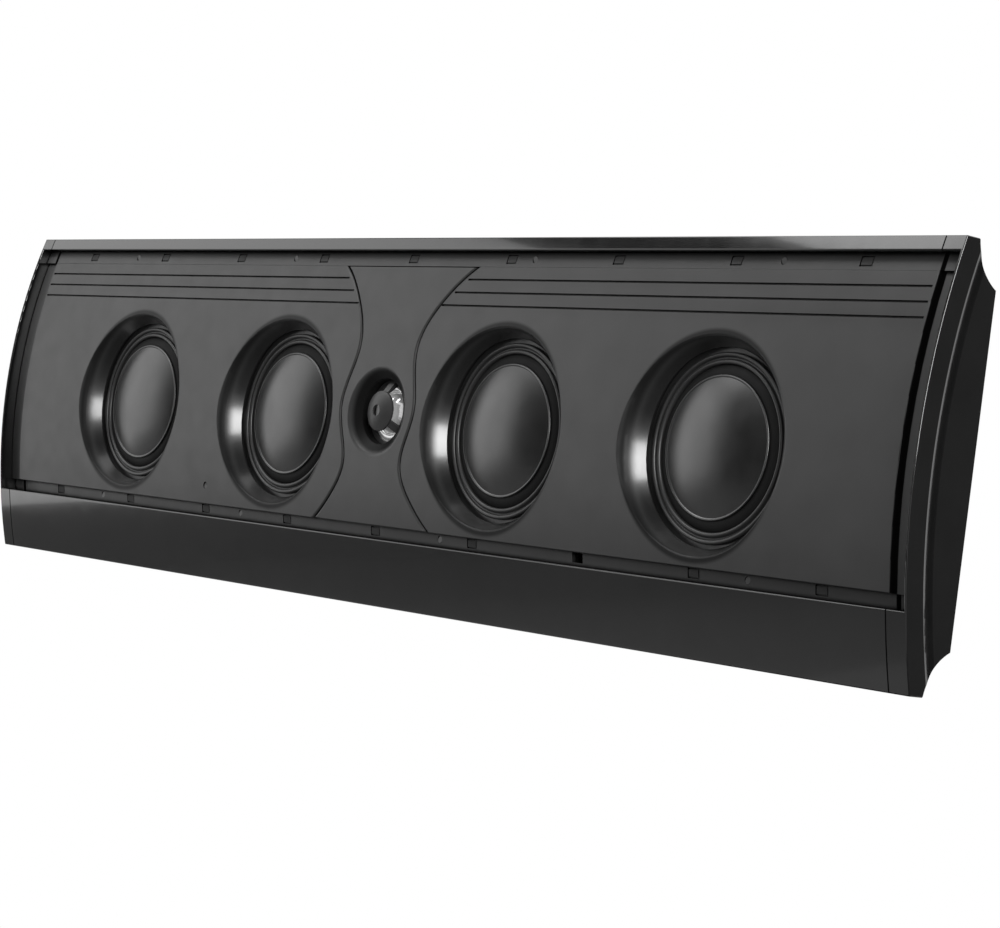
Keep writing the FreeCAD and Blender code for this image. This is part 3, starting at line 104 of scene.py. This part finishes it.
class Nodes:
    """One material, with the shader nodes that its finish is made of."""

    def __init__(self, name):
        self.material = bpy.data.materials.new(name)
        self.material.use_nodes = True
        self.tree = self.material.node_tree
        self.bsdf = self.tree.nodes["Principled BSDF"]
        self.coords = self.tree.nodes.new("ShaderNodeTexCoord").outputs["Object"]

    def new(self, kind, **values):
        node = self.tree.nodes.new(kind)
        for key, value in values.items():
            setattr(node, key, value)
        return node

    def link(self, source, target):
        self.tree.links.new(source, target)

    def stretched(self, scale):
        """The object's coordinates, stretched along each axis."""
        node = self.new("ShaderNodeMapping")
        set_inputs(node, {"Scale": scale})
        self.link(self.coords, node.inputs["Vector"])
        return node.outputs["Vector"]

    def noise(self, scale, detail, vector=None, rough=0.5):
        node = self.new("ShaderNodeTexNoise")
        set_inputs(node, {"Scale": scale, "Detail": detail, "Roughness": rough})
        self.link(vector or self.coords, node.inputs["Vector"])
        return node.outputs["Fac"]

    def spread(self, value, low, high):
        """Noise spread over a range of numbers."""
        node = self.new("ShaderNodeMapRange")
        set_inputs(node, {"From Min": NOISE_LOW, "From Max": NOISE_HIGH,
                          "To Min": low, "To Max": high})
        self.link(value, node.inputs["Value"])
        return node.outputs["Result"]

    def colours(self, value, dark, light):
        """Noise spread over a range of colours."""
        node = self.new("ShaderNodeValToRGB")
        stops = ((NOISE_LOW, dark), (NOISE_HIGH, light))
        for element, (position, colour) in zip(node.color_ramp.elements, stops):
            element.position = position
            element.color = (*colour, 1)
        self.link(value, node.inputs["Fac"])
        return node.outputs["Color"]

    def calc(self, operation, first, second=0.0):
        node = self.new("ShaderNodeMath", operation=operation)
        for socket, value in zip(node.inputs, (first, second)):
            if isinstance(value, (int, float)):
                socket.default_value = value
            else:
                self.link(value, socket)
        return node.outputs[0]

    def fade(self, value, start, end):
        """1 up to the start, 0 from the end on."""
        node = self.new("ShaderNodeMapRange", interpolation_type="SMOOTHSTEP")
        set_inputs(node, {"From Min": start, "From Max": end, "To Min": 1.0, "To Max": 0.0})
        self.link(value, node.inputs["Value"])
        return node.outputs["Result"]

    def mixed(self, share, colour, other):
        """A colour, with a share of another plain colour."""
        node = self.new("ShaderNodeMix", data_type="RGBA")
        self.link(share, node.inputs[MIX_SHARE])
        self.link(colour, node.inputs[MIX_FIRST])
        node.inputs[MIX_SECOND].default_value = (*other, 1)
        return node.outputs[MIX_RESULT]

    def place(self):
        """The object's coordinates, one by one."""
        node = self.new("ShaderNodeSeparateXYZ")
        self.link(self.coords, node.inputs[0])
        return node.outputs["X"], node.outputs["Y"], node.outputs["Z"]

    def from_axis(self, x, z, middle, lift):
        """Distance from an axis along Y."""
        across = self.calc("POWER", self.calc("SUBTRACT", x, middle), 2)
        up = self.calc("POWER", self.calc("SUBTRACT", z, lift), 2)
        return self.calc("SQRT", self.calc("ADD", across, up))

    def bump(self, height, strength, distance):
        node = self.new("ShaderNodeBump")
        set_inputs(node, {"Strength": strength, "Distance": distance})
        self.link(height, node.inputs["Height"])
        self.link(node.outputs["Normal"], self.bsdf.inputs["Normal"])


def finish(name, dark, light, rough, grain, bump, distance, metallic=0.0, specular=0.5,
           coat=0.0, coat_rough=0.05, tint_scale=TINT_SCALE, stretch=None, sheen=0.0):
    """Colour that drifts slightly, roughness that varies, and a fine surface grain."""
    n = Nodes(name)
    vector = n.stretched(stretch) if stretch else None
    tint = n.noise(tint_scale, TINT_DETAIL, vector)
    n.link(n.colours(tint, dark, light), n.bsdf.inputs["Base Color"])
    patches = n.noise(tint_scale * ROUGH_SCALE_RATIO, ROUGH_DETAIL, vector)
    n.link(n.spread(patches, *rough), n.bsdf.inputs["Roughness"])
    n.bump(n.noise(grain, GRAIN_DETAIL, vector, GRAIN_ROUGH), bump, distance)
    set_inputs(n.bsdf, {"Metallic": metallic, "Specular IOR Level": specular,
                        "Coat Weight": coat, "Coat Roughness": coat_rough,
                        "Sheen Weight": sheen})
    return n.material


def moulding(name, dark, light, rough, polished):
    """Fine-grained satin moulding with smoother mouths, and painted shade: darker mouths and
    throat, near-black end steps and crevices.
    """
    n = Nodes(name)
    x, y, z = n.place()
    side = n.calc("ABSOLUTE", x)

    # Zones: mouths of the woofers with their lips, throat of the tweeter, steps at the ends, all
    # places where shade is painted in
    mouth = n.calc("MINIMUM", n.from_axis(side, z, OUTER_MOUTH_X, 0),
                   n.from_axis(side, z, INNER_MOUTH_X, 0))
    inside = n.fade(mouth, *MOUTH_WALL)
    past_start = n.calc("SUBTRACT", 1.0, n.fade(mouth, *LIP_START))
    lip = n.calc("MULTIPLY", past_start, n.fade(mouth, *LIP_END))
    # Painted shade: the tweeter's throat is darkened in colour and reflection
    in_throat = n.fade(n.from_axis(x, z, 0, TWEETER_Z * MM), *THROAT)
    throat = n.calc("MULTIPLY", in_throat, PAINTED_THROAT_SHADE)
    # Painted shade: the step beside each end of the field is made near-black
    from_step = n.calc("ABSOLUTE", n.calc("SUBTRACT", side, END_STEP_X))
    step = n.calc("MULTIPLY", n.fade(from_step, *END_STEP_WIDTH),
                  n.calc("GREATER_THAN", y, END_STEP_FRONT))
    # Painted shade: crevices found by ambient occlusion are darkened in colour and reflection,
    # and roughened
    cover = n.new("ShaderNodeAmbientOcclusion", samples=CREVICE_SAMPLES)
    set_inputs(cover, {"Distance": CREVICE_REACH})
    crevice = n.calc("MAXIMUM", step, n.fade(cover.outputs["AO"], *CREVICE_OPENNESS))
    hidden = n.calc("MAXIMUM", crevice, throat)

    # Painted shade: the mouth walls and lips are darkened towards near-black
    wall = n.calc("MULTIPLY", n.calc("MAXIMUM", inside, lip), PAINTED_WALL_SHADE)
    shade = n.calc("MAXIMUM", hidden, wall)
    tint = n.colours(n.noise(TINT_SCALE, TINT_DETAIL), dark, light)
    n.link(n.mixed(shade, tint, grey(PAINTED_SHADE_GREY)), n.bsdf.inputs["Base Color"])

    patches = n.spread(n.noise(MOULDING_ROUGH_SCALE, ROUGH_DETAIL), *rough)
    plain = n.calc("ADD", patches, n.calc("MULTIPLY", crevice, CREVICE_ROUGHENING))
    smooth = n.calc("MULTIPLY", inside, rough[0] - polished)
    n.link(n.calc("SUBTRACT", plain, smooth), n.bsdf.inputs["Roughness"])

    # Painted shade: less reflection on the lips, the crevices, the end steps and the throat
    painted_shade_on_reflection = n.calc("MAXIMUM", hidden, n.calc("MULTIPLY", lip, PAINTED_LIP_SHADE))
    shine = n.calc("MULTIPLY", n.calc("SUBTRACT", 1.0, painted_shade_on_reflection), PLAIN_SPECULAR)
    n.link(shine, n.bsdf.inputs["Specular IOR Level"])
    n.link(n.calc("MULTIPLY", inside, WALL_COAT), n.bsdf.inputs["Coat Weight"])
    set_inputs(n.bsdf, {"Coat Roughness": WALL_COAT_ROUGH})
    n.bump(n.noise(MOULDING_GRAIN, GRAIN_DETAIL, None, GRAIN_ROUGH),
           MOULDING_BUMP, MOULDING_BUMP_DISTANCE)
    return n.material


FINISHES = {
    "black_lacquer": dict(
        dark=grey(0.006), light=grey(0.008), rough=(0.10, 0.14),
        grain=1400, bump=0.006, distance=0.0002, coat=0.5, coat_rough=0.05),
    "black_gloss": dict(
        dark=grey(0.005), light=grey(0.007), rough=(0.11, 0.15),
        grain=1200, bump=0.008, distance=0.0002, coat=0.4, coat_rough=0.06),
    "dark_plastic": dict(
        dark=grey(0.018), light=grey(0.026), rough=(0.34, 0.44),
        grain=2400, bump=0.12, distance=0.0002),
    "bright_aluminium": dict(
        dark=grey(0.90), light=grey(0.94), rough=(0.05, 0.08),
        grain=900, bump=0.003, distance=0.0001, metallic=0.35),
    "cone_metal": dict(
        dark=grey(0.10), light=grey(0.115), rough=(0.30, 0.35),
        grain=2600, bump=0.04, distance=0.0001, metallic=1.0),
    "ring_plastic": dict(
        dark=grey(0.018), light=grey(0.024), rough=(0.32, 0.40),
        grain=2200, bump=0.10, distance=0.0002),
    "surround_rubber": dict(
        dark=grey(0.005), light=grey(0.007), rough=(0.58, 0.68),
        grain=1800, bump=0.15, distance=0.0002, specular=0.18),
    "catch_rubber": dict(
        dark=grey(0.014), light=grey(0.020), rough=(0.50, 0.62),
        grain=1800, bump=0.15, distance=0.0002),
    "copper": dict(
        dark=(0.62, 0.27, 0.13), light=(0.75, 0.36, 0.19), rough=(0.22, 0.34),
        grain=900, bump=0.10, distance=0.0002, metallic=1.0, stretch=(1, 6, 1)),
    "nickel": dict(
        dark=(0.62, 0.61, 0.58), light=(0.70, 0.69, 0.66), rough=(0.18, 0.28),
        grain=900, bump=0.05, distance=0.0001, metallic=1.0),
    "steel": dict(
        dark=grey(0.34), light=grey(0.44), rough=(0.28, 0.42),
        grain=900, bump=0.10, distance=0.0002, metallic=1.0, stretch=(1, 8, 1)),
    "pressed_steel": dict(
        dark=grey(0.014), light=grey(0.020), rough=(0.30, 0.42),
        grain=1600, bump=0.12, distance=0.0002),
    "zinc_screw": dict(
        dark=(0.50, 0.50, 0.47), light=(0.60, 0.60, 0.58), rough=(0.24, 0.36),
        grain=1200, bump=0.08, distance=0.0001, metallic=1.0),
    "black_screw": dict(
        dark=grey(0.012), light=grey(0.018), rough=(0.28, 0.38),
        grain=1400, bump=0.10, distance=0.0001),
    "red_plastic": dict(
        dark=(0.40, 0.012, 0.012), light=(0.48, 0.018, 0.016), rough=(0.18, 0.26),
        grain=1200, bump=0.04, distance=0.0001),
    "board": dict(
        dark=(0.022, 0.105, 0.045), light=(0.035, 0.15, 0.065), rough=(0.28, 0.40),
        grain=600, bump=0.20, distance=0.0002, tint_scale=120.0),
    "sleeve": dict(
        dark=(0.022, 0.040, 0.13), light=(0.032, 0.055, 0.17), rough=(0.18, 0.28),
        grain=900, bump=0.05, distance=0.0001),
    "spider_cloth": dict(
        dark=(0.30, 0.21, 0.08), light=(0.38, 0.27, 0.12), rough=(0.75, 0.9),
        grain=1500, bump=0.5, distance=0.0003, sheen=0.2),
    "wadding": dict(
        dark=grey(0.60, 0.02), light=grey(0.74, 0.02), rough=(0.85, 0.97),
        grain=260, bump=0.8, distance=0.002, sheen=0.3),
}
MATERIALS = {name: finish(name, **values) for name, values in FINISHES.items()}
MATERIALS["charcoal_plastic"] = moulding(
    "charcoal_plastic", grey(0.020), grey(0.026), rough=(0.36, 0.42), polished=0.28)

SLOTS = {part["node"]: part["material_slot"] for part in frame["record"]["subparts"]}
for node, obj in frame["nodes"].items():
    obj.data.materials.clear()
    obj.data.materials.append(MATERIALS[SLOTS[node]])


# Turned pieces: profiles of radius and Y, in millimetres

WOOFER_STEPS = 160
TWEETER_STEPS = 128
SHARP_ANGLE = 40.0
ON_AXIS = 1e-6

CONE_RIM_BACK, CONE_EDGE, CONE_OUTER = -22.2, 36.4, 38.0
RING_BASE, RING_INNER = -20.0, 43.6


def arc(centre, radius, start, end, count):
    """Points of a circle, with angles in degrees from the radius axis."""
    points = []
    for k in range(count + 1):
        angle = math.radians(start + (end - start) * k / count)
        points.append((centre[0] + radius * math.cos(angle),
                       centre[1] + radius * math.sin(angle)))
    return points


def three_point(a, m, b, count):
    """Points on the circle through three points, without the first."""
    ax, ay, mx, my, bx, by = *a, *m, *b
    aa, mm, bb = ax * ax + ay * ay, mx * mx + my * my, bx * bx + by * by
    d = 2 * (ax * (my - by) + mx * (by - ay) + bx * (ay - my))
    ux = (aa * (my - by) + mm * (by - ay) + bb * (ay - my)) / d
    uy = (aa * (bx - mx) + mm * (ax - bx) + bb * (mx - ax)) / d
    radius = math.hypot(ax - ux, ay - uy)
    first = math.atan2(ay - uy, ax - ux)
    middle = (math.atan2(my - uy, mx - ux) - first + math.pi) % (2 * math.pi) - math.pi
    last = (math.atan2(by - uy, bx - ux) - first + math.pi) % (2 * math.pi) - math.pi
    if middle * last < 0:
        last += 2 * math.pi if middle > 0 else -2 * math.pi
    points = []
    for k in range(1, count + 1):
        angle = first + last * k / count
        points.append((ux + radius * math.cos(angle), uy + radius * math.sin(angle)))
    return points


def dome_points(edge, rise, rim, count):
    """Points of a dome from its top to its rim."""
    sphere = (edge ** 2 + rise ** 2) / (2 * rise)
    points = []
    for k in range(count + 1):
        radius = edge * k / count
        points.append((radius, rim - rise + sphere - math.sqrt(sphere ** 2 - radius ** 2)))
    return points


def mesh_object(name, verts, faces, slot):
    mesh = bpy.data.meshes.new(name)
    mesh.from_pydata(verts, [], faces)
    mesh.validate()
    work = bmesh.new()
    work.from_mesh(mesh)
    bmesh.ops.recalc_face_normals(work, faces=work.faces)
    work.to_mesh(mesh)
    work.free()
    mesh.shade_smooth()
    mesh.set_sharp_from_angle(angle=math.radians(SHARP_ANGLE))
    obj = bpy.data.objects.new(name, mesh)
    bpy.context.scene.collection.objects.link(obj)
    mesh.materials.append(MATERIALS[slot])
    return obj


def lathe(name, profile, x, z, slot, steps):
    """A closed profile, turned about an axis along Y."""
    verts = []
    faces = []
    rings = []
    for radius, y in profile:
        if radius < ON_AXIS:
            rings.append([len(verts)] * steps)
            verts.append((x * MM, y * MM, z * MM))
            continue
        ring = []
        for k in range(steps):
            angle = 2 * math.pi * k / steps
            ring.append(len(verts))
            verts.append(((x + radius * math.sin(angle)) * MM, y * MM,
                          (z + radius * math.cos(angle)) * MM))
        rings.append(ring)
    for i, low in enumerate(rings):
        high = rings[(i + 1) % len(rings)]
        for k in range(steps):
            j = (k + 1) % steps
            corners = []
            for v in (low[k], low[j], high[j], high[k]):
                if v not in corners:
                    corners.append(v)
            if len(corners) > 2:
                faces.append(corners)
    return mesh_object(name, verts, faces, slot)


def cone_profile():
    """Dome, rounded bead at the rim, and the underside."""
    rim_front, rise = -23.0, 6.0
    bead, bead_drop = 0.75, 0.35
    points = dome_points(CONE_EDGE, rise, rim_front, 24)
    points += arc((CONE_OUTER - bead, rim_front + bead_drop), bead, 250, 360, 8)
    points += [(CONE_OUTER, CONE_RIM_BACK), (CONE_EDGE, CONE_RIM_BACK)]
    points += reversed(dome_points(CONE_EDGE, rise, CONE_RIM_BACK, 12)[:-1])
    return points


def surround_profile():
    """The rubber edge from under the cone's rim to the clamped lip."""
    flange, lip_out, t = -19.5, 49.4, 0.5
    front_bend, back_bend = (41.5, -21.5), (41.0, -21.0)
    front_start, front_end = (CONE_OUTER, CONE_RIM_BACK), (RING_INNER, flange - t)
    back_start, back_end = (RING_INNER, flange), (CONE_OUTER - t, CONE_RIM_BACK + t)
    points = [(CONE_EDGE, CONE_RIM_BACK), front_start]
    points += three_point(front_start, front_bend, front_end, 14)
    points += [(lip_out, flange - t), (lip_out, flange), back_start]
    points += three_point(back_start, back_bend, back_end, 14)
    points += [(CONE_EDGE, CONE_RIM_BACK + t)]
    return points


def ring_profile():
    """Trim ring with two round ridges and a hollow between them."""
    front, outer = -20.7, 49.9
    ridge, ridge_lift = 1.25, 0.2
    hollow, hollow_lift = 0.75, 0.25
    points = [(RING_INNER, RING_BASE), (RING_INNER, front - ridge_lift)]
    points += arc((RING_INNER + ridge, front - ridge_lift), ridge, 180, 345, 12)
    points += arc(((RING_INNER + outer) / 2, front - hollow_lift), hollow, 160, 20, 6)
    points += arc((outer - ridge, front - ridge_lift), ridge, 195, 360, 12)
    points += [(outer, RING_BASE)]
    return points


def tweeter_profile():
    """The tweeter's dome, its roll and its flat edge, as one membrane."""
    rim, rise, edge, t = -23.1, 6.0, 12.5, 0.4
    roll_mid, roll_out, roll_rise, outer = 14.5, 16.5, 1.3, 21.5
    back = rim + t
    points = dome_points(edge, rise, rim, 32)
    points += three_point((edge, rim), (roll_mid, rim - roll_rise), (roll_out, rim), 14)
    points += [(outer, rim), (outer, back), (roll_out, back)]
    points += three_point((roll_out, back), (roll_mid, back - roll_rise), (edge, back), 14)
    points += reversed(dome_points(edge, rise, back, 16)[:-1])
    return points


dome_skin = lathe("tweeter_dome_skin", tweeter_profile(), 0, TWEETER_Z, "bright_aluminium",
                  TWEETER_STEPS)
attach(dome_skin, ROOT)
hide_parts("tweeter_dome")

for number, x in WOOFER_X.items():
    name = "woofer_%d_" % number
    moving = name + "moving"
    cone = lathe(name + "cone_skin", cone_profile(), x, 0, "cone_metal", WOOFER_STEPS)
    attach(cone, moving)
    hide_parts(name + "cone")
    ring = lathe(name + "ridged_ring", ring_profile(), x, 0, "ring_plastic", WOOFER_STEPS)
    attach(ring, ROOT)
    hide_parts(name + "trim_ring")
    edge = lathe(name + "rubber_edge", surround_profile(), x, 0, "surround_rubber", WOOFER_STEPS)
    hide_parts(name + "surround")
    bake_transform(edge)


# Camera

SENSOR_WIDTH, LENS, CLIP_END = 36.0, 99.57, 100
EYE = (1.30474, -1.00085, -0.06284)
RIGHT = Vector((0.629174604, 0.766298374, 0.130100423))
DOWN = Vector((0.060422102, 0.118655958, -0.99109532))
FORWARD = Vector((-0.774911922, 0.631432946, 0.028353957))

camera_data = bpy.data.cameras.new("camera")
camera_data.sensor_fit = "HORIZONTAL"
camera_data.sensor_width = SENSOR_WIDTH
camera_data.lens = LENS
camera_data.clip_end = CLIP_END
camera = bpy.data.objects.new("camera", camera_data)
bpy.context.scene.collection.objects.link(camera)
pose = Matrix((RIGHT, -DOWN, -FORWARD)).transposed().to_4x4()
pose.translation = EYE
camera.matrix_world = pose
bpy.context.scene.camera = camera


# White surroundings: full strength where they are seen, less as light on dull surfaces

SEEN_STRENGTH, DIFFUSE_STRENGTH = 1.0, 0.35


def clamped_sum(tree, first, second):
    node = tree.nodes.new("ShaderNodeMath")
    node.operation = "ADD"
    node.use_clamp = True
    tree.links.new(first, node.inputs[0])
    tree.links.new(second, node.inputs[1])
    return node.outputs[0]


world = bpy.data.worlds.new("studio")
bpy.context.scene.world = world
world.use_nodes = True
tree = world.node_tree
background = tree.nodes["Background"]
set_inputs(background, {"Color": (1, 1, 1, 1)})
path = tree.nodes.new("ShaderNodeLightPath").outputs
seen = clamped_sum(tree, path["Is Camera Ray"], path["Is Glossy Ray"])
seen = clamped_sum(tree, seen, path["Is Transmission Ray"])
level = tree.nodes.new("ShaderNodeMapRange")
set_inputs(level, {"To Min": DIFFUSE_STRENGTH, "To Max": SEEN_STRENGTH})
tree.links.new(seen, level.inputs["Value"])
tree.links.new(level.outputs["Result"], background.inputs["Strength"])


# Floor, and studio flags that only reflections see

LYING, FACING_X, FACING_Y = (0, 0, 0), (0, 90, 0), (90, 0, 0)


def stage_plane(name, centre, size, turn, material):
    """A flat stage piece, turned by Euler angles in degrees."""
    mesh = bpy.data.meshes.new(name)
    w, h = size[0] / 2, size[1] / 2
    mesh.from_pydata([(-w, -h, 0), (w, -h, 0), (w, h, 0), (-w, h, 0)], [], [(0, 1, 2, 3)])
    mesh.materials.append(material)
    obj = bpy.data.objects.new(name, mesh)
    obj.location = centre
    obj.rotation_euler = [math.radians(a) for a in turn]
    bpy.context.scene.collection.objects.link(obj)
    return obj


pale_floor = finish("pale_floor", grey(0.42), grey(0.46), rough=(0.8, 0.9),
                    grain=90, bump=0.05, distance=0.001, specular=0.0)
studio_grey = finish("studio_grey", grey(0.018), grey(0.022), rough=(0.8, 0.9),
                     grain=40, bump=0.05, distance=0.001)
studio_mid = finish("studio_mid", grey(0.24), grey(0.27), rough=(0.8, 0.9),
                    grain=40, bump=0.05, distance=0.001)

stage_plane("floor", (-0.9, -1.0, -0.9), (5.0, 4.8), LYING, pale_floor)
for name, centre, size, turn, surface in (
        ("left_flag", (-2.3, -1.3, 0.735), (2.27, 3.6), FACING_X, studio_grey),
        ("upstand", (-2.3, -1.3, -0.65), (0.50, 3.6), FACING_X, studio_mid),
        ("front_flag", (-0.725, -3.0, 0.6), (3.15, 3.2), FACING_Y, studio_grey),
        ("right_flag", (2.6, 0.0, 0.6), (3.2, 6.0), FACING_X, studio_mid),
        ("back_flag", (2.35, 3.0, 0.6), (2.3, 3.2), FACING_Y, studio_grey),
        ("under_flag", (0.9, -0.5, -0.75), (2.8, 1.8), LYING, studio_grey),
        ("low_flag", (-2.3, -1.85, -0.85), (2.8, 1.5), LYING, studio_mid),
        ("ceiling_flag", (1.6, -0.9, 2.7), (3.6, 3.4), LYING, studio_grey)):
    flag = stage_plane(name, centre, size, turn, surface)
    flag.visible_camera = False
    flag.visible_diffuse = False
    flag.visible_shadow = False


# Lamps

def softbox(name, centre, facing, size, radiance):
    """A rectangular area light of a given brightness."""
    data = bpy.data.lights.new(name, "AREA")
    data.shape = "RECTANGLE"
    data.size, data.size_y = size
    data.energy = radiance * math.pi * size[0] * size[1]
    lamp = bpy.data.objects.new(name, data)
    lamp.location = centre
    lamp.rotation_euler = Vector(facing).to_track_quat("-Z", "Y").to_euler()
    lamp.visible_camera = False
    bpy.context.scene.collection.objects.link(lamp)


softbox("left_softbox", (-1.7, -1.25, 0.35), (1, 0, 0), (1.8, 1.5), radiance=1.5)
softbox("right_softbox", (1.9, -0.95, 0.75), (-1, 0, 0), (1.0, 1.3), radiance=14.0)
softbox("high_softbox", (-1.5, -1.6, 2.0), (0, 0, -1), (2.5, 1.5), radiance=2.5)
softbox("overhead_softbox", (0.0, 0.4, 2.0), (0, -0.15, -1), (2.0, 0.6), radiance=2.0)

bpy.context.scene.view_settings.view_transform = "Standard"
